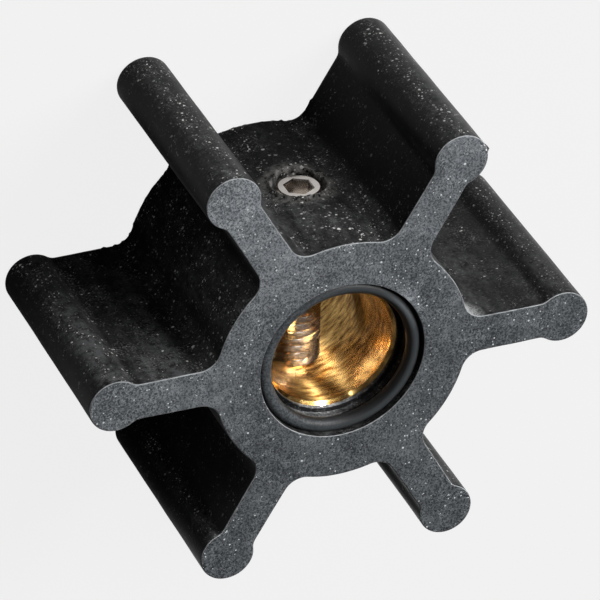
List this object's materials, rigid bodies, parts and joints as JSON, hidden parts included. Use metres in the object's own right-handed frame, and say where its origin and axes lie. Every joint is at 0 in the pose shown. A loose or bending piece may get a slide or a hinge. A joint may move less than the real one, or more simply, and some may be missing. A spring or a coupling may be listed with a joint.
{
  "type": "rubber pump impeller",
  "caption": "Flexible rubber pump impeller with paddle vanes, a bonded brass bush, a set screw across its bore and an O-ring in its mouth.",
  "frame": {"origin": "centre of the rear end face, on the bore axis, which is the middle of the base that it stands on", "axes": "+Z along the bore axis from the rear end face to the front end face with the O-ring, +X out along the set screw to its socket end, +Y along the tip of a vane"},
  "size_m": [0.0448, 0.0508, 0.0238],
  "materials": {
    "nitrile_rubber": "moulded, semi-matt black, with matt grey end faces",
    "turned_brass": "turned and worn bright",
    "screw_steel": "stainless steel, rolled thread",
    "o_ring_rubber": "smooth matt black"
  },
  "bodies": {
    "root": {"rubber_body": "nitrile_rubber", "brass_bush": "turned_brass", "set_screw": "screw_steel", "mouth_o_ring": "o_ring_rubber"}
  },
  "joints": []
}
